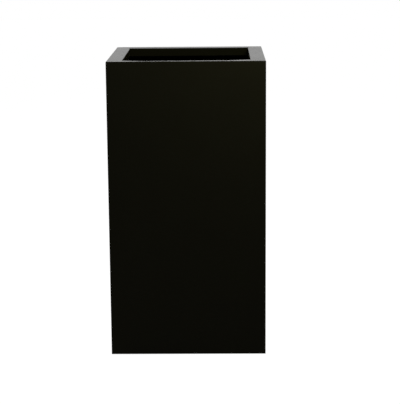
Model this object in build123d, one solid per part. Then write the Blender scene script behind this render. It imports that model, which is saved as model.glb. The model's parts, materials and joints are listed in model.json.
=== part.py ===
"""A tall square planter in folded sheet steel, powder coated all over.

Four panels, each folded in one piece into a wall, a wide flat rim, a turned-down inner lip and
a hemmed bottom edge, meet at mitred corners. Angles inside the corners and plates under the rim
join them. A tray on four cleats is the floor, with a plugged drain, and four levelling feet
are screwed fully home behind the skirt.

Frame: millimetres, +Z up, the front face towards -Y. The origin is the middle of the footprint
at floor level.
"""

import os

from build123d import *

# Outside sizes
planter_width = 400.0
planter_depth = 400.0
planter_height = 762.0
skirt_gap = 1.0  # the feet hold the bottom edge this far off the floor

# Folded panels
sheet = 1.5
bend_inside = 0.5
corner_radius = 1.5  # upright outside corners, welded and ground
rim_width = 38.0
lip_drop = 21.0
hem_clearance = 1.5  # between the hem and the foot brackets

# Angles inside the upright corners
angle_leg = 30.0
angle_sheet = 1.5
angle_lift = 2.0  # above the edge of the floor tray

# Plates under the rim's mitres
rim_plate_leg = 70.0
rim_plate_sheet = 2.0
rim_plate_clearance = 0.5

# Floor tray
tray_sheet = 1.5
tray_edge_height = 25.0
tray_bend_inside = 2.5
tray_clearance = 0.5

# Cleats that carry the tray
cleat_leg = 25.0
cleat_sheet = 1.5
cleat_lift = 2.5  # above the hem
cleat_end_gap = 8.0  # from a foot bracket

# Screws and nuts that hold the tray down
screw_radius = 2.45
screw_hole_radius = 2.75
screw_spacing = 160.0
screw_head_radius = 4.75
screw_head_height = 3.0
screw_tip = 2.0  # past the nut
screw_nut_across_flats = 8.0
screw_nut_height = 4.0
screw_nut_clearance = 0.05

# Foot brackets
bracket_size = 60.0
bracket_sheet = 2.5
bracket_bend_inside = 1.0
bracket_flange_height = 14.0
bracket_corner_cut = 18.0

# Levelling feet, from the floor up
pad_radius = 15.0
pad_disc_height = 4.0
pad_edge_radius = 1.0
pad_floor = 2.5  # nylon left under the stud's disc
pad_clearance = 0.3  # around the stud
pad_boss_radius = 8.0
pad_boss_cover = 2.9  # nylon left over the stud's disc
stud_disc_radius = 4.5
stud_disc_height = 2.5
stud_neck_radius = 3.0
stud_neck_gap = 0.8  # between the pad's boss and the stud's hexagon
stud_hex_across_flats = 10.0
stud_hex_height = 5.0
stud_stop_gap = 0.2  # between the stud's hexagon and the bracket
stud_radius = 4.0
stud_nut_clearance = 0.05
stud_hole_clearance = 0.5
stud_top_gap = 1.0  # under the tray
foot_nut_across_flats = 13.0
foot_nut_height = 6.5
foot_travel = 9.0

# Drain
drain_bore_radius = 11.0
drain_sleeve_radius = 15.0
drain_sleeve_lift = 11.0  # above the floor
drain_flange_radius = 26.0
drain_flange_height = 3.0
drain_hole_clearance = 0.3
drain_gasket_height = 2.0
drain_nut_across_flats = 42.0
drain_nut_height = 7.0
drain_nut_clearance = 0.05
plug_clearance = 0.3
plug_taper = 1.0
plug_depth = 14.0
plug_head_radius = 15.0
plug_head_height = 4.0
plug_grip_width = 20.0
plug_grip_height = 9.0
plug_grip_thickness = 4.0

# Heights that follow, from the floor up
skirt_bottom = skirt_gap
stud_disc_bottom = pad_floor + pad_clearance
stud_disc_top = stud_disc_bottom + stud_disc_height
pad_boss_top = stud_disc_top + pad_clearance + pad_boss_cover
stud_hex_bottom = pad_boss_top + stud_neck_gap
stud_hex_top = stud_hex_bottom + stud_hex_height
bracket_underside = stud_hex_top + stud_stop_gap
bracket_top = bracket_underside + bracket_sheet
hem_top = bracket_underside - hem_clearance
cleat_bottom = hem_top + cleat_lift
foot_nut_top = bracket_top + foot_nut_height
stud_top = foot_nut_top + foot_travel
tray_underside = stud_top + stud_top_gap
floor_height = tray_underside + tray_sheet
tray_edge_top = tray_underside + tray_edge_height
rim_underside = planter_height - sheet

# Places that follow, inwards from an outside face
tray_place = sheet + tray_clearance
tray_bend_outside = tray_sheet + tray_bend_inside
screw_inset = (tray_place + tray_bend_outside + sheet + cleat_leg) / 2
foot_inset = sheet + bracket_size / 2

# Sides and corners in turn, each a quarter turn on from the one before
sides = ("front", "right", "back", "left")
corners = ("front_left", "front_right", "back_right", "back_left")


def side_length(side):
    """How long a side is, corner to corner."""
    return planter_width if side in ("front", "back") else planter_depth


def at_side(side, shape):
    """A shape drawn with its outside face on Y = 0 and inwards along +Y, set on that side."""
    distance = planter_depth / 2 if side in ("front", "back") else planter_width / 2
    return Rot(Z=90 * sides.index(side)) * Pos(0, -distance, 0) * shape


def at_corner(corner, shape):
    """A shape drawn inwards along +X and +Y from an upright corner, set in that corner."""
    x = planter_width / 2 if corner.endswith("right") else -planter_width / 2
    y = planter_depth / 2 if corner.startswith("back") else -planter_depth / 2
    return Pos(x, y, 0) * Rot(Z=90 * corners.index(corner)) * shape


def rounded_face(points, rounds):
    """A closed outline in the plane, with the corners named in rounds filleted."""
    face = make_face(Polyline(*points, close=True))
    for point, radius in rounds:
        face = fillet(face.vertices().sort_by_distance((*point, 0))[0], radius)
    return face


def across(face, length):
    """A face drawn inwards along X and upwards along Y, drawn out along a side, centred on it."""
    return Plane.YZ * extrude(face, amount=length / 2, both=True)


def disc(radius, bottom, top):
    """An upright cylinder between two heights."""
    return Pos(0, 0, bottom) * extrude(Circle(radius), amount=top - bottom)


def hexagon(across_flats, bottom, top):
    """An upright hexagonal prism between two heights."""
    flats = RegularPolygon(across_flats / 2, side_count=6, major_radius=False)
    return Pos(0, 0, bottom) * extrude(flats, amount=top - bottom)


def panel(side):
    """A wall with its rim, lip and hem, folded from one sheet and mitred at both ends."""
    length = side_length(side)
    bend_outside = sheet + bend_inside
    lip_bottom = planter_height - lip_drop
    lip_outside = rim_width - sheet
    hem_inside = 2 * sheet
    hem_round = 0.9 * sheet
    section = rounded_face(
        [
            (0, skirt_bottom),
            (0, planter_height),
            (rim_width, planter_height),
            (rim_width, lip_bottom),
            (lip_outside, lip_bottom),
            (lip_outside, rim_underside),
            (sheet, rim_underside),
            (sheet, hem_top),
            (hem_inside, hem_top),
            (hem_inside, skirt_bottom),
        ],
        [
            ((0, planter_height), bend_outside),
            ((rim_width, planter_height), bend_outside),
            ((lip_outside, rim_underside), bend_inside),
            ((sheet, rim_underside), bend_inside),
            ((0, skirt_bottom), hem_round),
            ((hem_inside, skirt_bottom), hem_round),
        ],
    )
    reach = rim_width + sheet
    mitred = Polygon(
        (-length / 2, 0),
        (length / 2, 0),
        (length / 2 - reach, reach),
        (reach - length / 2, reach),
        align=None,
    )
    ground = Pos(0, reach) * RectangleRounded(length, 2 * reach, corner_radius)
    return across(section, length) & extrude(mitred & ground, amount=planter_height)


def corner_angle():
    """An angle in an upright corner, spot welded to both panels."""
    near = sheet
    far = sheet + angle_leg
    inner = sheet + angle_sheet
    section = rounded_face(
        [(near, near), (far, near), (far, inner), (inner, inner), (inner, far), (near, far)],
        [((near, near), angle_sheet + bend_inside), ((inner, inner), bend_inside)],
    )
    bottom = tray_edge_top + angle_lift
    top = rim_underside - rim_plate_sheet
    return Pos(0, 0, bottom) * extrude(section, amount=top - bottom)


def rim_plate():
    """A plate under the rim that bridges the mitre between two panels."""
    near = sheet + bend_inside + rim_plate_clearance
    far = rim_width - sheet - bend_inside - rim_plate_clearance
    section = Polygon(
        (near, near),
        (rim_plate_leg, near),
        (rim_plate_leg, far),
        (far, far),
        (far, rim_plate_leg),
        (near, rim_plate_leg),
        align=None,
    )
    return Pos(0, 0, rim_underside - rim_plate_sheet) * extrude(section, amount=rim_plate_sheet)


def at_side_screws(shape):
    """A copy of a shape at each of a side's screws, on the side drawn along X."""
    return [Pos(x, screw_inset) * shape for x in (-screw_spacing / 2, screw_spacing / 2)]


def cleat(side):
    """An angle along a wall, whose level leg carries the tray."""
    length = side_length(side) - 2 * (sheet + bracket_size + cleat_end_gap)
    near = sheet
    far = sheet + cleat_leg
    inner = sheet + cleat_sheet
    leg_underside = tray_underside - cleat_sheet
    section = rounded_face(
        [
            (near, tray_underside),
            (far, tray_underside),
            (far, leg_underside),
            (inner, leg_underside),
            (inner, cleat_bottom),
            (near, cleat_bottom),
        ],
        [
            ((near, tray_underside), cleat_sheet + bend_inside),
            ((inner, leg_underside), bend_inside),
        ],
    )
    return across(section, length) - at_side_screws(disc(screw_hole_radius, 0, floor_height))


def floor_tray():
    """The floor of the planter: a shallow tray with a drain hole and screw holes."""
    width = planter_width - 2 * tray_place
    depth = planter_depth - 2 * tray_place
    outer = extrude(RectangleRounded(width, depth, tray_bend_outside), amount=tray_edge_height)
    outer = fillet(outer.faces().sort_by(Axis.Z)[0].edges(), tray_bend_outside)
    inner = extrude(
        RectangleRounded(width - 2 * tray_sheet, depth - 2 * tray_sheet, tray_bend_inside),
        amount=tray_edge_height,
    )
    inner = fillet(inner.faces().sort_by(Axis.Z)[0].edges(), tray_bend_inside)
    tray = Pos(0, 0, tray_underside) * (outer - Pos(0, 0, tray_sheet) * inner)
    tray -= disc(drain_sleeve_radius + drain_hole_clearance, 0, floor_height)
    return tray - at_screws(disc(screw_hole_radius, 0, floor_height))


def tray_screw():
    """A pan head screw, down through the tray, a cleat and a nut."""
    nut_bottom = tray_underside - cleat_sheet - screw_nut_height
    head = disc(screw_head_radius, floor_height, floor_height + screw_head_height)
    head = fillet(head.faces().sort_by(Axis.Z)[-1].edges(), screw_head_height / 2)
    drive = Box(2 * screw_radius, screw_head_height / 3, screw_head_height)
    head -= Pos(0, 0, floor_height + screw_head_height) * drive
    head -= Pos(0, 0, floor_height + screw_head_height) * Rot(Z=90) * drive
    return head + disc(screw_radius, nut_bottom - screw_tip, floor_height)


def tray_nut():
    """The nut under a cleat."""
    top = tray_underside - cleat_sheet
    nut = hexagon(screw_nut_across_flats, top - screw_nut_height, top)
    return nut - disc(screw_radius + screw_nut_clearance, 0, floor_height)


def at_screws(shape):
    """A copy of a shape at each of the tray's screws."""
    return [at_side(side, copy) for side in sides for copy in at_side_screws(shape)]


def foot_bracket():
    """A pressed plate across the foot of a corner, with two flanges against the walls."""
    bend_outside = bracket_sheet + bracket_bend_inside
    outer = Box(bracket_size, bracket_size, bracket_flange_height, align=Align.MIN)
    outer = fillet(edges_at_corner(outer), bend_outside)
    inner = Box(bracket_size, bracket_size, bracket_flange_height, align=Align.MIN)
    inner = fillet(edges_at_corner(inner), bracket_bend_inside)
    bracket = outer - Pos(bracket_sheet, bracket_sheet, bracket_sheet) * inner
    free_corner = bracket.edges().filter_by(Axis.Z).sort_by_distance((bracket_size, bracket_size, 0))
    bracket = chamfer(free_corner[0], bracket_corner_cut)
    bracket = Pos(sheet, sheet, bracket_underside) * bracket
    return bracket - at_foot(disc(stud_radius + stud_hole_clearance, 0, floor_height))


def edges_at_corner(box):
    """The three edges of a box that meet at its lowest corner."""
    axes = (Axis.X, Axis.Y, Axis.Z)
    return [box.edges().filter_by(axis).sort_by_distance((0, 0, 0))[0] for axis in axes]


def at_foot(shape):
    """A shape drawn about the upright axis, set on the stud's axis, a point of its hexagon
    towards the corner."""
    return Pos(foot_inset, foot_inset) * Rot(Z=45) * shape


def foot_nut():
    """The nut welded on a foot bracket."""
    nut = hexagon(foot_nut_across_flats, bracket_top, foot_nut_top)
    return at_foot(nut - disc(stud_radius + stud_nut_clearance, 0, floor_height))


def foot_stud():
    """The threaded stud of a foot, with a hexagon to turn it and a disc held in the pad."""
    stud = disc(stud_disc_radius, stud_disc_bottom, stud_disc_top)
    stud += disc(stud_neck_radius, stud_disc_top, stud_hex_bottom)
    stud += hexagon(stud_hex_across_flats, stud_hex_bottom, stud_hex_top)
    stud += disc(stud_radius, stud_hex_top, stud_top)
    return at_foot(chamfer(stud.faces().sort_by(Axis.Z)[-1].edges(), stud_radius / 5))


def foot_pad():
    """The nylon pad that stands on the floor and lets the stud turn in it."""
    pad = disc(pad_radius, 0, pad_disc_height) + disc(pad_boss_radius, 0, pad_boss_top)
    pad = fillet(pad.edges().filter_by(GeomType.CIRCLE).group_by(Axis.Z)[1], pad_edge_radius)
    pad -= disc(stud_disc_radius + pad_clearance, pad_floor, stud_disc_top + pad_clearance)
    return at_foot(pad - disc(stud_neck_radius + pad_clearance, pad_floor, pad_boss_top))


def drain_fitting():
    """The flanged sleeve through the tray's floor."""
    flange_bottom = floor_height + drain_gasket_height
    flange_top = flange_bottom + drain_flange_height
    flange = disc(drain_flange_radius, flange_bottom, flange_top)
    flange = chamfer(flange.faces().sort_by(Axis.Z)[-1].edges(), drain_flange_height / 3)
    sleeve = disc(drain_sleeve_radius, drain_sleeve_lift, flange_bottom)
    return flange + sleeve - disc(drain_bore_radius, drain_sleeve_lift, flange_top)


def drain_gasket():
    """The rubber washer between the fitting's flange and the tray."""
    washer = disc(drain_flange_radius, floor_height, floor_height + drain_gasket_height)
    hole = disc(drain_sleeve_radius + drain_hole_clearance, floor_height, planter_height)
    return washer - hole


def drain_nut():
    """The nut that draws the fitting down on the tray."""
    nut = hexagon(drain_nut_across_flats, tray_underside - drain_nut_height, tray_underside)
    return nut - disc(drain_sleeve_radius + drain_nut_clearance, 0, floor_height)


def drain_plug():
    """The rubber plug: a tapered bung, a head that rests on the fitting and a grip."""
    head_bottom = floor_height + drain_gasket_height + drain_flange_height
    head_top = head_bottom + plug_head_height
    bung_radius = drain_bore_radius - plug_clearance
    bung = Pos(0, 0, head_bottom - plug_depth / 2) * Cone(
        bung_radius - plug_taper, bung_radius, plug_depth
    )
    head = disc(plug_head_radius, head_bottom, head_top)
    head = fillet(head.faces().sort_by(Axis.Z)[-1].edges(), plug_head_height / 4)
    grip = Pos(0, 0, head_top + plug_grip_height / 2) * Box(
        plug_grip_width, plug_grip_thickness, plug_grip_height
    )
    grip = fillet(grip.faces().sort_by(Axis.Z)[-1].edges(), plug_grip_thickness / 4)
    return bung + head + grip


def assembly():
    """Every piece of the planter by its node's name."""
    pieces = {f"{side}_panel": at_side(side, panel(side)) for side in sides}
    pieces |= {f"base_cleat_{side}": at_side(side, cleat(side)) for side in sides}
    for corner in corners:
        pieces[f"corner_angle_{corner}"] = at_corner(corner, corner_angle())
        pieces[f"rim_plate_{corner}"] = at_corner(corner, rim_plate())
        pieces[f"foot_bracket_{corner}"] = at_corner(corner, foot_bracket())
        pieces[f"foot_stud_{corner}"] = at_corner(corner, foot_stud())
        pieces[f"foot_pad_{corner}"] = at_corner(corner, foot_pad())
    pieces["foot_nuts"] = Compound(children=[at_corner(corner, foot_nut()) for corner in corners])
    pieces["floor_tray"] = floor_tray()
    pieces["tray_screws"] = Compound(children=at_screws(tray_screw()))
    pieces["tray_nuts"] = Compound(children=at_screws(tray_nut()))
    pieces["drain_fitting"] = drain_fitting()
    pieces["drain_gasket"] = drain_gasket()
    pieces["drain_nut"] = drain_nut()
    pieces["drain_plug"] = drain_plug()
    return pieces


os.makedirs("parts", exist_ok=True)
for name, piece in assembly().items():
    export_step(piece, f"parts/{name}.step")
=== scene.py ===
"""A tall square planter in folded sheet steel with a black powder coat, on a white studio floor.

Metres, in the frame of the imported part: the front face looks along -Y and the pads stand on Z = 0.
"""

import json
import math

import bmesh
import bpy
from mathutils import Matrix, Vector, noise


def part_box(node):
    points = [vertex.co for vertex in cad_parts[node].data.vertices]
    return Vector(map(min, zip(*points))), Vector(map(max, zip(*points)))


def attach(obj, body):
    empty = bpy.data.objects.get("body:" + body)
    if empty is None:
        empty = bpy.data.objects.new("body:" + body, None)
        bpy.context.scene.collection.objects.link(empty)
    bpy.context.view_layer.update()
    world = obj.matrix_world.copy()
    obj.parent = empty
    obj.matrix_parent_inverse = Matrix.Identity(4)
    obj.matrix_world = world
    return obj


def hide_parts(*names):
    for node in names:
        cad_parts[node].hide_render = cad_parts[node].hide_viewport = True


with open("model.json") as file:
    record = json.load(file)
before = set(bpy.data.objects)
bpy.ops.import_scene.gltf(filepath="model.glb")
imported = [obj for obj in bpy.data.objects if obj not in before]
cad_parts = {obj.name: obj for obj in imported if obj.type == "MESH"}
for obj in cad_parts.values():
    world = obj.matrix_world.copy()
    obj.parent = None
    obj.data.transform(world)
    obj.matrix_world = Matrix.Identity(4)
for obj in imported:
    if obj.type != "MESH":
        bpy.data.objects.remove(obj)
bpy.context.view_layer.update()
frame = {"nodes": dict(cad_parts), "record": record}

sides = ("front", "right", "back", "left")
corners = ("front_left", "front_right", "back_right", "back_left")

# The front panel's box, whose depth and height the other panels repeat
panel_low, panel_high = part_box("front_panel")
half_side = -panel_low.y
rim_width = panel_high.y - panel_low.y

# The camera, measured from the foot of the front face's middle, with its turns in radians
camera_aside = 0.084
camera_before = 3.3755
camera_height = 1.1035
camera_turned_left = 0.0152
camera_tipped_down = 0.2042
camera_rolled = -0.0081
focal_pixels = 1357.5
image_height = 404
sensor_width = 36.0  # millimetres
view_depth = 50.0

# The folded sheet
sheet = 0.0015
bend_inside = 0.0005
bend_outside = sheet + bend_inside
corner_radius = 0.0015
lip_drop = 0.021
hem_height = 0.012
hem_round = 0.9 * sheet

# How finely the pieces are divided
arc_steps = 4
run_spacing = 0.02
edge_band = 0.001  # flat strip beside each bend
plate_stations = 12
merge_distance = 1e-6
crease_angle = 40  # degrees

# How the sheet has moved from true in folding and welding: the walls bow inwards in slow waves
wall_bow = 0.0005
bow_waves = 5  # in a metre
bow_apart = 7.0  # so that no two sides have the same waves
bow_from_corner = 0.12  # the bow grows over this far from an upright corner
bow_from_bottom = 0.1
bow_from_top = 0.08
bow_below_top = 0.01

# How far the rim's inner edge sags: at each corner, and from the left to the right of each side
corner_sag = {"front_left": 0.0013, "front_right": 0.0006, "back_right": 0.0, "back_left": 0.0006}
corner_hold = 0.05  # the rim leaves its corner's sag over this length
rim_sag = {
    "front": (0.0028, 0.0016),
    "right": (0.0006, 0.0003),
    "back": (0.0001, 0.0009),
    "left": (0.0008, 0.0013),
}

# Hexagons and threads
chamfer_circle = 0.95  # share of the size across flats
chamfer_angle = 30  # degrees
thread_slope = 1.3  # with the next one, leaves about a ninth of the pitch flat at crest and root
thread_flat = 0.15
small_chamfer = 0.0004

# Levelling feet
pad_radius = 0.015
pad_disc_top = 0.004
pad_boss_radius = 0.008
pad_round = 0.001
pad_recess = 0.0004
pad_recess_radius = 0.012
pad_recess_rim = 0.0125
pad_pocket = 0.0048
pad_pocket_bottom = 0.0025
pad_pocket_top = 0.0056
pad_neck_hole = 0.0033
stud_disc_radius = 0.0045
stud_disc_top = 0.0053
stud_neck_radius = 0.003
stud_hexagon = 0.01
stud_hexagon_bottom = 0.0093
stud_hexagon_top = 0.0143
stud_radius = 0.004
stud_end_chamfer = 0.0008
stud_pitch = 0.00125
stud_thread_depth = 0.00068
foot_nut_hexagon = 0.013
foot_nut_bore = 0.00405

# Screws and nuts of the floor tray
screw_spacing = 0.16
screw_radius = 0.00245
screw_pitch = 0.0008
screw_thread_depth = 0.0004
screw_head_radius = 0.00475
screw_head_height = 0.003
screw_head_side = 0.0009
screw_head_round = 0.0018
screw_cross_reach = 0.0023
screw_cross_width = 0.0011
screw_cross_depth = 0.0015
screw_cross_foot_reach = 0.001265
screw_cross_foot_width = 0.00088
tray_nut_hexagon = 0.008
tray_nut_bore = 0.0025

# Drain
drain_bore = 0.011
drain_sleeve_radius = 0.015
drain_flange_height = 0.003
drain_chamfer = 0.0005
drain_round = 0.001
drain_round_middle = 0.0003  # where the middle of that round lies, both ways from the square edge
drain_pitch = 0.0025
drain_thread_depth = 0.0009
drain_nut_hexagon = 0.042
drain_nut_bore = 0.01505
gasket_round = 0.00025
gasket_clearance = 0.0003

# Plug of the drain
plug_clearance = 0.000396
plug_foot = ((0.0025, 0.0), (0.0012, 0.0006))  # in from the bung's side and up from its foot
plug_ribs = 3
plug_rib_start = 0.003
plug_rib_spacing = 0.004
plug_rib_step = 0.0006  # each flank, and the flat between them
plug_rib_depth = 0.0007
plug_rib_growth = 0.0002  # from one rib to the next
plug_waist = 0.0009  # in from the bung's side
plug_neck = 0.0006  # in from the bung's side
plug_head_radius = 0.015
plug_head_bottom = 0.04
plug_head_top = 0.044
plug_head_chamfer = 0.0008
plug_head_round = 0.0018
grip_width = 0.02
grip_thickness = 0.004
grip_squareness = 4
grip_root = ((1.14, 0.0), (1.04, 0.0004), (1.0, 0.0012))  # shares of its size, heights over the head
grip_crown = ((1.0, 0.0018), (0.985, 0.001), (0.94, 0.0003), (0.85, 0.0))  # the same, below its top

# Welds
spot_radius = 0.0032
spot_height = 0.0002
spot_section = ((1.0, 0.0), (0.85, 1.0), (0.6, 0.6), (0.2, 0.3))  # shares of its radius and height
spot_spacing = 0.075
cleat_spots = (-0.84, -0.42, 0.0, 0.42, 0.84)  # shares of half a cleat's length
bead_size = 0.0028
bead_length = 0.014
bead_places = (0.28, 0.72)  # shares of a bracket's width
bead_ripple = 0.0017
bead_ripple_stations = 4  # for each ripple
bead_ripple_share = 0.09  # of its size
bead_end_share = 0.08  # of its section, where it starts and stops
bead_flatness = 0.82  # reach of its middle against its edges
bead_arc_points = 5

# The studio
floor_reach = 12.0
floor_height = -0.0001  # just under the pads
floor_glow = 1.14
floor_glow_share = 0.85  # the rest of the floor's look takes the light and the shadow
surround_light = 0.12
overhead_light = 0.25  # what a white surface under it gives back
overhead_spread = 50  # degrees


class Value:
    """A number on its way through a material, which adds Math nodes when it is worked with."""

    def __init__(self, finish, socket):
        self.finish = finish
        self.socket = socket

    def maths(self, operation, other):
        """What a Math node makes of this number and another."""
        return self.finish.node("ShaderNodeMath", {"operation": operation}, {0: self, 1: other})

    def __add__(self, other):
        return self.maths("ADD", other)

    def __mul__(self, other):
        return self.maths("MULTIPLY", other)

    __radd__ = __add__
    __rmul__ = __mul__


class Finish:
    """The nodes of a material, or of the world round the planter."""

    def __init__(self, owner):
        owner.use_nodes = True
        self.owner = owner
        self.tree = owner.node_tree

    def node(self, kind, settings=None, inputs=None, output=0):
        """Adds a node, sets it up, fills its sockets and gives back one of its outputs."""
        made = self.tree.nodes.new(kind)
        for name, setting in (settings or {}).items():
            setattr(made, name, setting)
        self.fill(made, inputs or {})
        return Value(self, made.outputs[output])

    def fill(self, made, inputs):
        """Sets or links the sockets of a node."""
        for name, given in inputs.items():
            if isinstance(given, Value):
                self.tree.links.new(given.socket, made.inputs[name])
            else:
                made.inputs[name].default_value = given

    def grain(self, size, detail):
        """Soft noise from 0 to 1 over a piece, with features about as large as size."""
        place = self.node("ShaderNodeTexCoord", output="Object")
        return self.node(
            "ShaderNodeTexNoise",
            {},
            {"Vector": place, "Scale": 1.0 / size, "Detail": detail, "Roughness": 0.55},
        )

    def steps(self, value, low, high):
        """A value from 0 at low to 1 at high, smooth in between."""
        return self.node(
            "ShaderNodeMapRange",
            {"interpolation_type": "SMOOTHSTEP"},
            {"Value": value, "From Min": low, "From Max": high},
        )

    def mix(self, amount, first, second):
        """One colour into another."""
        return self.node(
            "ShaderNodeMix",
            {"data_type": "RGBA"},
            {0: amount, 6: first, 7: second},
            output=2,
        )

    def bump(self, height, depth, before=None):
        """A relief of that depth in metres, over an earlier one if there is one."""
        inputs = {"Height": height, "Distance": depth, "Strength": 1.0}
        if before is not None:
            inputs["Normal"] = before
        return self.node("ShaderNodeBump", {}, inputs)

    def seen(self):
        """1 for what the eye meets, straight, in a mirror or through glass, and 0 for what gives light."""
        straight = self.node("ShaderNodeLightPath", output="Is Camera Ray")
        mirrored = self.node("ShaderNodeLightPath", output="Is Glossy Ray")
        through = self.node("ShaderNodeLightPath", output="Is Transmission Ray")
        return straight + mirrored + through

    def shader(self):
        """The shader that a new material comes with."""
        return self.tree.nodes["Principled BSDF"]

    def set(self, **inputs):
        """Sets the shader's sockets by name, an underscore for a space, and gives back the material."""
        self.fill(self.shader(), {name.replace("_", " "): value for name, value in inputs.items()})
        return self.owner

    def end(self, output, share, first, second):
        """Ends the nodes in a share of a second shader over a first one."""
        mixed = self.node("ShaderNodeMixShader", {}, {0: share, 1: first, 2: second})
        self.fill(self.tree.nodes[output], {"Surface": mixed})


def powder_coat():
    """Satin black powder coat: orange peel, fine specks and a faint warm cloudiness."""
    finish = Finish(bpy.data.materials.new("powder_coat"))
    cloud = finish.grain(0.09, 3.0)
    peel = finish.grain(0.0016, 1.0)
    speck = finish.steps(finish.grain(0.0007, 0.0), 0.62, 0.8)
    colour = finish.mix(cloud, (0.0032, 0.0030, 0.0010, 1.0), (0.0040, 0.0038, 0.0015, 1.0))
    colour = finish.mix(speck * 0.5, colour, (0.007, 0.007, 0.005, 1.0))
    rough = 0.14 + 0.06 * cloud + 0.06 * speck
    relief = finish.bump(speck, 0.00001, finish.bump(peel, 0.00001))
    return finish.set(Base_Color=colour, Roughness=rough, IOR=1.077, Normal=relief)


def zinc_plate():
    """Bright zinc on the studs, screws and nuts."""
    finish = Finish(bpy.data.materials.new("zinc_plate"))
    cloud = finish.grain(0.004, 3.0)
    fine = finish.grain(0.0004, 1.0)
    colour = finish.mix(cloud, (0.42, 0.43, 0.42, 1.0), (0.62, 0.62, 0.58, 1.0))
    relief = finish.bump(fine, 0.00001)
    return finish.set(Base_Color=colour, Metallic=1.0, Roughness=0.28 + 0.15 * fine, Normal=relief)


def nylon():
    """Black moulded nylon of the pads."""
    finish = Finish(bpy.data.materials.new("nylon"))
    cloud = finish.grain(0.003, 2.0)
    fine = finish.grain(0.0003, 1.0)
    colour = finish.mix(cloud, (0.012, 0.012, 0.012, 1.0), (0.022, 0.022, 0.021, 1.0))
    return finish.set(Base_Color=colour, Roughness=0.45 + 0.1 * fine, Normal=finish.bump(fine, 0.00001))


def drain_plastic():
    """Black moulded plastic of the drain."""
    finish = Finish(bpy.data.materials.new("drain_plastic"))
    cloud = finish.grain(0.006, 2.0)
    fine = finish.grain(0.0005, 1.0)
    colour = finish.mix(cloud, (0.01, 0.01, 0.01, 1.0), (0.018, 0.018, 0.018, 1.0))
    return finish.set(Base_Color=colour, Roughness=0.35 + 0.1 * fine, Normal=finish.bump(fine, 0.00001))


def rubber():
    """Dull black rubber of the plug and the washer."""
    finish = Finish(bpy.data.materials.new("rubber"))
    cloud = finish.grain(0.004, 2.0)
    fine = finish.grain(0.0004, 2.0)
    colour = finish.mix(cloud, (0.014, 0.014, 0.014, 1.0), (0.03, 0.03, 0.029, 1.0))
    return finish.set(Base_Color=colour, Roughness=0.7 + 0.15 * fine, Normal=finish.bump(fine, 0.00002))


def placed(name, data):
    """A new object in the scene."""
    made = bpy.data.objects.new(name, data)
    bpy.context.scene.collection.objects.link(made)
    return made


def piece(name, body, slot, shape, stands_for=()):
    """A visible piece of the planter, riding on its body."""
    points, faces = shape
    mesh = bpy.data.meshes.new(name)
    mesh.from_pydata(points, [], faces)
    work = bmesh.new()
    work.from_mesh(mesh)
    bmesh.ops.remove_doubles(work, verts=work.verts, dist=merge_distance)
    bmesh.ops.recalc_face_normals(work, faces=work.faces)
    work.to_mesh(mesh)
    work.free()
    mesh.shade_smooth()
    mesh.set_sharp_from_angle(angle=math.radians(crease_angle))
    mesh.materials.append(finishes[slot])
    made = placed(name, mesh)
    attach(made, body)
    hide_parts(*stands_for)
    return made


def quarter_turn(quarters):
    """A turn about the planter's axis, which takes the front to another side."""
    return Matrix.Rotation(math.pi / 2 * quarters, 4, "Z")


def net_faces(rows, width, rows_close, width_closes):
    """The faces between the rows of a net of points, which may close on itself either way."""
    faces = []
    for row in range(rows if rows_close else rows - 1):
        after = (row + 1) % rows
        for step in range(width if width_closes else width - 1):
            beside = (step + 1) % width
            faces.append((
                row * width + step,
                row * width + beside,
                after * width + beside,
                after * width + step,
            ))
    return faces


def moved(shape, place):
    """A shape set at a place."""
    points, faces = shape
    return [tuple(place @ Vector(point)) for point in points], faces


def joined(shapes):
    """Several shapes as one list of points and one of faces."""
    all_points, all_faces = [], []
    for points, faces in shapes:
        first = len(all_points)
        all_points += points
        all_faces += [tuple(first + index for index in face) for face in faces]
    return all_points, all_faces


def rounded_outline(corner_list):
    """A closed outline from (across, up, radius) corners, square ones or arcs, with long runs divided."""
    outline = []
    count = len(corner_list)
    for index, (across, up, radius) in enumerate(corner_list):
        corner = Vector((across, up))
        if radius == 0.0:
            outline.append(corner)
            continue
        before = (Vector(corner_list[index - 1][:2]) - corner).normalized()
        after = (Vector(corner_list[(index + 1) % count][:2]) - corner).normalized()
        centre = corner + radius * (before + after)
        for step in range(arc_steps + 1):
            turn = step / arc_steps * math.pi / 2
            outline.append(centre - radius * (after * math.cos(turn) + before * math.sin(turn)))
    return divided(outline)


def divided(outline):
    """The same closed outline with its long runs divided, and a point close to each end of them."""
    points = []
    for start, end in zip(outline, outline[1:] + outline[:1]):
        points.append(start)
        length = (end - start).length
        points += [start.lerp(end, past / length) for past in run_places(length)]
    return points


def run_places(length):
    """Places along a straight run: one near each end and the rest evenly between."""
    if length < 4 * edge_band:
        return []
    parts = max(1, round((length - 2 * edge_band) / run_spacing))
    return [edge_band + (length - 2 * edge_band) * part / parts for part in range(parts + 1)]


def panel_outline():
    """The section of a panel: depth in from the outside face, and height."""
    bottom, top = panel_low.z, panel_high.z
    hem_top = bottom + hem_height
    return rounded_outline(
        [
            (0, bottom, hem_round),
            (0, top, bend_outside),
            (rim_width, top, bend_outside),
            (rim_width, top - lip_drop, 0.0),
            (rim_width - sheet, top - lip_drop, 0.0),
            (rim_width - sheet, top - sheet, bend_inside),
            (sheet, top - sheet, bend_inside),
            (sheet, hem_top, 0.0),
            (2 * sheet, hem_top, 0.0),
            (2 * sheet, bottom, hem_round),
        ]
    )


def smooth(value):
    """From 0 to 1 with no corner at either end."""
    value = min(max(value, 0.0), 1.0)
    return value * value * (3 - 2 * value)


def bow(side, along, up):
    """How far a point of a panel has moved inwards."""
    held = smooth((half_side - abs(along)) / bow_from_corner)
    held *= smooth((up - panel_low.z) / bow_from_bottom)
    held *= smooth((panel_high.z - bow_below_top - up) / bow_from_top)
    waves = noise.noise(Vector((along * bow_waves, up * bow_waves, bow_apart * sides.index(side))))
    return wall_bow * held * (0.5 + 0.5 * waves)


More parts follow.
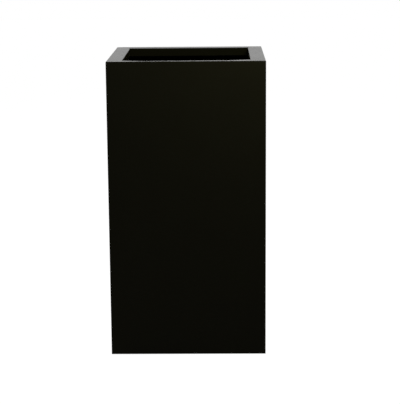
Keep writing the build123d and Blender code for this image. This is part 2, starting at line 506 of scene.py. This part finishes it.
def sag(side, along, depth, up):
    """How far a point of the rim, its lip or a plate under it has moved down."""
    if up <= panel_high.z - lip_drop - sheet:
        return 0.0
    share = 0.5 + along / (2 * half_side)
    between = rim_sag[side][0] * (1 - share) + rim_sag[side][1] * share
    corner = corners[(sides.index(side) + (along > 0)) % 4]
    free = smooth((half_side - abs(along) - rim_width) / corner_hold)
    return (corner_sag[corner] * (1 - free) + between * free) * depth / rim_width


def panel_stations(depth):
    """Places along a panel for one point of its section, round the corner to the mitre."""
    straight = half_side - corner_radius
    inside_round = max(corner_radius - depth, 0.0)
    reach = max(depth - corner_radius, 0.0)
    end = []
    for step in range(1, arc_steps + 1):
        turn = step / arc_steps * math.pi / 4
        end.append((inside_round * math.sin(turn), inside_round * (1 - math.cos(turn))))
    shorter = 1 - reach / straight
    between = [(past - straight) * shorter for past in [0.0] + run_places(2 * straight) + [2 * straight]]
    right = [(straight - reach + past, drop) for past, drop in end]
    left = [(-along, drop) for along, drop in reversed(right)]
    return left + [(along, 0.0) for along in between] + right


def panel(side):
    """One folded panel: wall, rim, lip and hem, mitred at both ends."""
    rows = []
    for depth, up in panel_outline():
        row = []
        for along, drop in panel_stations(depth):
            across = panel_low.y + depth + drop + bow(side, along, up)
            row.append((along, across, up - sag(side, along, depth, up)))
        rows.append(row)
    points = [point for row in rows for point in row]
    width = len(rows[0])
    faces = net_faces(len(rows), width, True, False)
    faces.append([index * width for index in range(len(rows))])
    faces.append([index * width + width - 1 for index in reversed(range(len(rows)))])
    made = piece(f"{side}_panel_folded", "planter", "powder_coat", (points, faces), [f"{side}_panel"])
    made.data.transform(quarter_turn(sides.index(side)))


def plate_leg(side, end):
    """One leg of a rim plate, from the open mitre along a side, bent down with the rim above it."""
    plate_low, plate_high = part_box("rim_plate_front_left")
    near = plate_low.y + half_side
    length = plate_high.y + half_side
    depths = [near + (rim_width - 2 * near) * step / arc_steps for step in range(arc_steps + 1)]
    ring = [(depth, plate_high.z) for depth in depths] + [(depth, plate_low.z) for depth in reversed(depths)]
    turn = quarter_turn(sides.index(side))
    points = []
    for station in range(plate_stations + 1):
        for depth, up in ring:
            along = end * (half_side - depth - (length - depth) * station / plate_stations)
            place = Vector((along, depth - half_side, up - sag(side, along, depth, up)))
            points.append(tuple(turn @ place))
    count = len(ring)
    faces = [tuple(range(plate_stations * count, (plate_stations + 1) * count))]
    return points, faces + net_faces(plate_stations + 1, count, False, True)


def rim_plates():
    """The plates under the rim, which bridge the mitres and follow the rim's sag."""
    for index, corner in enumerate(corners):
        shape = joined([plate_leg(sides[index], -1), plate_leg(sides[index - 1], 1)])
        name = f"rim_plate_formed_{corner}"
        piece(name, "planter", "powder_coat", shape, [f"rim_plate_{corner}"])


def around(rows, steps, bored=False):
    """Points and faces about the upright axis, from rows of radius and height.

    Either number may be a function of the turn. A bored piece closes on itself through its bore.
    """
    points = []
    for radius, height in rows:
        for step in range(steps):
            turn = 2 * math.pi * step / steps
            reach = radius(turn) if callable(radius) else radius
            up = height(turn) if callable(height) else height
            points.append((reach * math.cos(turn), reach * math.sin(turn), up))
    faces = net_faces(len(rows), steps, bored, True)
    if not bored:
        faces.append(tuple(reversed(range(steps))))
        faces.append(tuple(range((len(rows) - 1) * steps, len(rows) * steps)))
    return points, faces


def edge_rows(radius, top, size, steps=4):
    """A round from an upright side to a level top."""
    turns = [step / steps * math.pi / 2 for step in range(steps + 1)]
    return [(radius - size * (1 - math.cos(turn)), top - size * (1 - math.sin(turn))) for turn in turns]


def hexagon(across_flats):
    """The reach of a hexagon with a point on turn 0."""
    return lambda turn: across_flats / 2 / math.cos(turn % (math.pi / 3) - math.pi / 6)


def hexagon_rows(across_flats, bottom, top):
    """The outside of a hexagon with its points chamfered at both ends."""
    reach = hexagon(across_flats)
    face = chamfer_circle * across_flats / 2
    slope = math.tan(math.radians(chamfer_angle))
    return [
        (face, bottom),
        (reach, lambda turn: bottom + (reach(turn) - face) * slope),
        (reach, lambda turn: top - (reach(turn) - face) * slope),
        (face, top),
    ]


def thread_rows(crest, depth, pitch, bottom, top, rows_per_turn=8):
    """A screw thread between two heights, running out at both."""
    rows = []
    count = round((top - bottom) / pitch * rows_per_turn)
    for index in range(count + 1):
        up = bottom + (top - bottom) * index / count
        run_out = min(1.0, (up - bottom) / pitch, (top - up) / pitch)
        rows.append((thread_reach(crest, depth * run_out, pitch, up), up))
    return rows


def thread_reach(crest, depth, pitch, up):
    """The reach of a thread at one height, over the turn."""

    def reach(turn):
        phase = (up / pitch - turn / (2 * math.pi)) % 1.0
        share = min(max(thread_slope * abs(2 * phase - 1) - thread_flat, 0.0), 1.0)
        return crest - depth * share

    return reach


def foot_place(corner):
    """Where a foot stands: its axis, with a point of its hexagons towards the corner."""
    low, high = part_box(f"foot_stud_{corner}")
    axis = Vector(((low.x + high.x) / 2, (low.y + high.y) / 2, 0.0))
    towards = math.radians(90 * corners.index(corner) + 45)
    return Matrix.Translation(axis) @ Matrix.Rotation(towards, 4, "Z")


def foot_studs():
    """The threaded studs, each with a hexagon to turn it and a disc held in the pad."""
    for corner in corners:
        node = f"foot_stud_{corner}"
        low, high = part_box(node)
        thread_top = high.z - stud_end_chamfer
        rows = [(stud_disc_radius - small_chamfer, low.z), (stud_disc_radius, low.z + small_chamfer)]
        rows += [(stud_disc_radius, stud_disc_top - small_chamfer)]
        rows += [(stud_disc_radius - small_chamfer, stud_disc_top)]
        rows += [(stud_neck_radius, stud_disc_top), (stud_neck_radius, stud_hexagon_bottom)]
        rows += hexagon_rows(stud_hexagon, stud_hexagon_bottom, stud_hexagon_top)
        rows += thread_rows(stud_radius, stud_thread_depth, stud_pitch, stud_hexagon_top, thread_top)
        rows += [(stud_radius - stud_end_chamfer, high.z)]
        shape = moved(around(rows, steps=48), foot_place(corner))
        piece(f"foot_stud_turned_{corner}", node, "zinc_plate", shape, [node])


def foot_pads():
    """The nylon pads: a disc with a boss that holds the stud's disc."""
    for corner in corners:
        node = f"foot_pad_{corner}"
        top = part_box(node)[1].z
        rows = [(pad_recess_radius, pad_recess), (pad_recess_rim, 0.0)]
        rows += [(pad_radius - pad_round / 2, 0.0), (pad_radius, pad_round / 2)]
        rows += edge_rows(pad_radius, pad_disc_top, pad_round)
        rows += [(pad_boss_radius + pad_round / 2, pad_disc_top)]
        rows += [(pad_boss_radius, pad_disc_top + pad_round / 2)]
        rows += edge_rows(pad_boss_radius, top, pad_round / 2)
        rows += [(pad_neck_hole + pad_round / 4, top), (pad_neck_hole, top - pad_round / 4)]
        rows += [(pad_neck_hole, pad_pocket_top), (pad_pocket, pad_pocket_top)]
        rows += [(pad_pocket, pad_pocket_bottom)]
        shape = moved(around(rows, steps=64), foot_place(corner))
        piece(f"foot_pad_moulded_{corner}", node, "nylon", shape, [node])


def foot_nuts():
    """The nuts on the foot brackets."""
    low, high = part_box("foot_nuts")
    rows = hexagon_rows(foot_nut_hexagon, low.z, high.z)
    rows += [(foot_nut_bore + small_chamfer, high.z), (foot_nut_bore, high.z - small_chamfer)]
    rows += [(foot_nut_bore, low.z + small_chamfer), (foot_nut_bore + small_chamfer, low.z)]
    nut = around(rows, steps=48, bored=True)
    shape = joined([moved(nut, foot_place(corner)) for corner in corners])
    piece("foot_nuts_chamfered", "planter", "zinc_plate", shape, ["foot_nuts"])


def at_the_screws(shape):
    """A shape repeated at the tray's screws, two along each side."""
    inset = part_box("tray_screws")[1].y - screw_head_radius
    aside = screw_spacing / 2
    places = []
    for quarter in range(4):
        turn = quarter_turn(quarter)
        places += [turn @ Matrix.Translation((x, -inset, 0.0)) for x in (-aside, aside)]
    return joined([moved(shape, place) for place in places])


def cross(reach, width):
    """The reach of a plus-shaped recess."""

    def bar(along, across):
        return min(reach / max(abs(along), 1e-6), width / 2 / max(abs(across), 1e-6))

    return lambda turn: max(bar(math.cos(turn), math.sin(turn)), bar(math.sin(turn), math.cos(turn)))


def tray_screws():
    """Pan head screws with a crossed recess, down through the tray and the cleats."""
    low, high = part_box("tray_screws")
    seat = high.z - screw_head_height
    foot = low.z + screw_thread_depth
    rows = [(screw_radius - screw_thread_depth, low.z)]
    rows += thread_rows(screw_radius, screw_thread_depth, screw_pitch, foot, seat, rows_per_turn=6)
    rows += [(screw_head_radius, seat), (screw_head_radius, seat + screw_head_side)]
    rows += edge_rows(screw_head_radius, high.z, screw_head_round, steps=6)[1:]
    rows += [(cross(screw_cross_reach, screw_cross_width), high.z)]
    rows += [(cross(screw_cross_foot_reach, screw_cross_foot_width), high.z - screw_cross_depth)]
    shape = at_the_screws(around(rows, steps=48))
    piece("tray_screws_pan_head", "planter", "zinc_plate", shape, ["tray_screws"])


def tray_nuts():
    """The nuts under the cleats."""
    low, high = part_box("tray_nuts")
    rows = hexagon_rows(tray_nut_hexagon, low.z, high.z)
    rows += [(tray_nut_bore, high.z), (tray_nut_bore, low.z)]
    shape = at_the_screws(around(rows, steps=36, bored=True))
    piece("tray_nuts_chamfered", "planter", "zinc_plate", shape, ["tray_nuts"])


def drain_fitting():
    """The drain's flanged and threaded sleeve."""
    low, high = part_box("drain_fitting")
    seat = high.z - drain_flange_height
    thread_bottom = low.z + drain_chamfer
    thread_top = seat - drain_flange_height
    rows = [(drain_sleeve_radius - drain_thread_depth, low.z)]
    rows += thread_rows(drain_sleeve_radius, drain_thread_depth, drain_pitch, thread_bottom, thread_top)
    rows += [(drain_sleeve_radius, seat), (high.x - drain_chamfer, seat), (high.x, seat + drain_chamfer)]
    rows += edge_rows(high.x, high.z, drain_round)
    rows += [(drain_bore + drain_round, high.z)]
    rows += [(drain_bore + drain_round_middle, high.z - drain_round_middle)]
    rows += [(drain_bore, high.z - drain_round), (drain_bore, low.z)]
    shape = around(rows, steps=96, bored=True)
    piece("drain_fitting_moulded", "planter", "drain_plastic", shape, ["drain_fitting"])


def drain_washer():
    """The rubber washer between the tray and the sleeve's flange."""
    low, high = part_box("drain_gasket")
    hole = drain_sleeve_radius + gasket_clearance
    rows = [(high.x - gasket_round, low.z), (high.x, low.z + drain_chamfer)]
    rows += [(high.x, high.z - drain_chamfer), (high.x - gasket_round, high.z)]
    rows += [(hole, high.z), (hole, low.z)]
    piece("drain_washer", "planter", "rubber", around(rows, steps=96, bored=True), ["drain_gasket"])


def drain_nut():
    """The nut on the sleeve, under the tray."""
    low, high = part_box("drain_nut")
    rows = hexagon_rows(drain_nut_hexagon, low.z, high.z)
    rows += [(drain_nut_bore + drain_chamfer, high.z), (drain_nut_bore, high.z - drain_chamfer)]
    rows += [(drain_nut_bore, low.z + drain_chamfer), (drain_nut_bore + drain_chamfer, low.z)]
    shape = around(rows, steps=96, bored=True)
    piece("drain_nut_moulded", "planter", "drain_plastic", shape, ["drain_nut"])


def grip(scale):
    """The reach of the plug's grip: a slab with rounded ends."""

    def reach(turn):
        along = abs(math.cos(turn) / (grip_width / 2)) ** grip_squareness
        across = abs(math.sin(turn) / (grip_thickness / 2)) ** grip_squareness
        return scale * (along + across) ** (-1 / grip_squareness)

    return reach


def drain_plug():
    """The rubber plug: a ribbed bung, a head that rests on the fitting and a grip."""
    low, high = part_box("drain_plug")
    bung = drain_bore - plug_clearance
    rows = [(bung - inset, low.z + past) for inset, past in plug_foot]
    for rib in range(plug_ribs):
        up = low.z + plug_rib_start + plug_rib_spacing * rib
        waist = bung - plug_waist + plug_rib_growth * rib
        crest = waist + plug_rib_depth
        rows += [(waist, up), (crest, up + plug_rib_step)]
        rows += [(crest, up + 2 * plug_rib_step), (waist, up + 3 * plug_rib_step)]
    rows += [(bung - plug_neck, plug_head_bottom)]
    rows += [(plug_head_radius - plug_head_chamfer, plug_head_bottom)]
    rows += [(plug_head_radius, plug_head_bottom + plug_head_chamfer)]
    rows += edge_rows(plug_head_radius, plug_head_top, plug_head_round, steps=6)
    rows += [(grip(scale), plug_head_top + past) for scale, past in grip_root]
    rows += [(grip(scale), high.z - past) for scale, past in grip_crown]
    piece("drain_plug_moulded", "drain_plug", "rubber", around(rows, steps=120), ["drain_plug"])


def spot_welds():
    """The round marks where the corner angles and the cleats are spot welded to the walls."""
    spot = around([(spot_radius * reach, spot_height * up) for reach, up in spot_section], steps=24)
    angle_low, angle_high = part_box("corner_angle_front_left")
    cleat_low, cleat_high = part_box("base_cleat_front")
    count = round((angle_high.z - angle_low.z) / spot_spacing)
    reach = (angle_low.x + angle_high.x) / 2
    face = angle_low.y + sheet
    places = []
    for index in range(count):
        up = angle_low.z + (index + 0.5) * (angle_high.z - angle_low.z) / count
        places += [(x, face, up) for x in (reach, -reach)]
    cleat_up = (cleat_low.z + cleat_high.z) / 2 - sheet
    places += [(share * cleat_high.x, face, cleat_up) for share in cleat_spots]
    inwards = Matrix.Rotation(-math.pi / 2, 4, "X")
    shapes = []
    for quarter in range(4):
        turn = quarter_turn(quarter)
        shapes += [moved(spot, turn @ Matrix.Translation(place) @ inwards) for place in places]
    piece("spot_welds", "planter", "powder_coat", joined(shapes))


def bead(start, end, first, second):
    """A rippled weld in the corner between two faces, from its ends and the ways the faces run."""
    length = (end - start).length
    stations = round(length / bead_ripple * bead_ripple_stations)
    points = []
    for station in range(stations + 1):
        share = station / stations
        from_end = min(share, 1 - share) * length / bead_size
        ripple = 1 + bead_ripple_share * math.sin(2 * math.pi * share * length / bead_ripple)
        size = bead_size * math.sqrt(min(1.0, bead_end_share + from_end)) * ripple
        place = start.lerp(end, share)
        points.append(tuple(place))
        for step in range(bead_arc_points):
            turn = step / (bead_arc_points - 1) * math.pi / 2
            flat = bead_flatness + (1 - bead_flatness) * abs(math.cos(2 * turn))
            points.append(tuple(place + size * flat * (first * math.cos(turn) + second * math.sin(turn))))
    ring = bead_arc_points + 1
    faces = net_faces(stations + 1, ring, False, True)
    faces.append(tuple(reversed(range(ring))))
    faces.append(tuple(range(stations * ring, stations * ring + ring)))
    return points, faces


def bracket_welds():
    """The short welds that hold the foot brackets to the walls."""
    low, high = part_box("foot_bracket_front_left")
    inward = Vector((0, 1, 0))
    upward = Vector((0, 0, 1))
    beads = []
    for share in bead_places:
        start = Vector((low.x + share * (high.x - low.x) - bead_length / 2, low.y, high.z))
        beads.append(bead(start, start + Vector((bead_length, 0, 0)), inward, upward))
    shapes = []
    for quarter in range(4):
        for flip in (Matrix.Identity(4), Matrix.Scale(-1, 4, (1, 0, 0))):
            shapes += [moved(shape, quarter_turn(quarter) @ flip) for shape in beads]
    piece("bracket_welds", "planter", "powder_coat", joined(shapes))


def dress_cad_nodes():
    """Gives every carried-over node the finish of its slot."""
    for part in frame["record"]["subparts"]:
        node = frame["nodes"][part["node"]]
        node.data.materials.clear()
        node.data.materials.append(finishes[part["material_slot"]])


def studio_floor():
    """A floor that looks white and keeps the planter's shadow."""
    finish = Finish(bpy.data.materials.new("studio_floor"))
    finish.set(Base_Color=(0.4, 0.4, 0.4, 1.0), Roughness=0.9)
    lit = Value(finish, finish.shader().outputs[0])
    white = finish.node("ShaderNodeEmission", {}, {"Strength": floor_glow})
    finish.end("Material Output", finish.seen() * floor_glow_share, lit, white)
    ways = ((-1, -1), (1, -1), (1, 1), (-1, 1))
    mesh = bpy.data.meshes.new("studio_floor")
    mesh.from_pydata([(x * floor_reach, y * floor_reach, floor_height) for x, y in ways], [], [(0, 1, 2, 3)])
    mesh.materials.append(finish.owner)
    placed("studio_floor", mesh)


def studio_surround():
    """White where it is seen or mirrored, and a plain soft level as light."""
    world = bpy.data.worlds.new("studio_surround")
    bpy.context.scene.world = world
    surround = Finish(world)
    soft = surround.node("ShaderNodeBackground", {}, {"Strength": surround_light, "Color": (1, 1, 1, 1)})
    white = surround.node("ShaderNodeBackground", {}, {"Strength": 1.0, "Color": (1, 1, 1, 1)})
    surround.end("World Output", surround.seen(), soft, white)


def lamp(name, place, target, size, watts):
    """A soft square lamp, aimed at a point."""
    data = bpy.data.lights.new(name, "AREA")
    data.shape = "SQUARE"
    data.size = size
    data.energy = watts
    made = placed(name, data)
    made.location = place
    made.rotation_euler = (Vector(target) - Vector(place)).to_track_quat("-Z", "Y").to_euler()


def light():
    """A small lamp close in front on the right, a broad one overhead and one behind on the left."""
    lamp("key_lamp", place=(0.35, -0.6, 1.2), target=(0.15, -0.2, 0.8), size=0.35, watts=11.0)
    overhead = bpy.data.lights.new("overhead_lamp", "SUN")
    overhead.energy = overhead_light * math.pi
    overhead.angle = math.radians(overhead_spread)
    placed("overhead_lamp", overhead)
    lamp("fill_lamp", place=(-2.2, 0.9, 1.9), target=(0.0, 0.0, 0.5), size=1.2, watts=90.0)


def camera():
    """The photograph's view, without a shift of the lens."""
    data = bpy.data.cameras.new("camera")
    data.sensor_width = sensor_width
    data.lens = focal_pixels / image_height * sensor_width
    data.clip_end = view_depth
    made = placed("camera", data)
    made.matrix_world = (
        Matrix.Translation((camera_aside, panel_low.y - camera_before, camera_height))
        @ Matrix.Rotation(camera_turned_left, 4, "Z")
        @ Matrix.Rotation(math.pi / 2 - camera_tipped_down, 4, "X")
        @ Matrix.Rotation(camera_rolled, 4, "Z")
    )
    bpy.context.scene.camera = made


finishes = {
    "powder_coat": powder_coat(),
    "zinc_plate": zinc_plate(),
    "nylon": nylon(),
    "drain_plastic": drain_plastic(),
    "rubber": rubber(),
}

dress_cad_nodes()
for side in sides:
    panel(side)
rim_plates()
foot_studs()
foot_pads()
foot_nuts()
tray_screws()
tray_nuts()
drain_fitting()
drain_washer()
drain_nut()
drain_plug()
spot_welds()
bracket_welds()

studio_floor()
studio_surround()
light()
camera()

bpy.context.scene.view_settings.view_transform = "Standard"
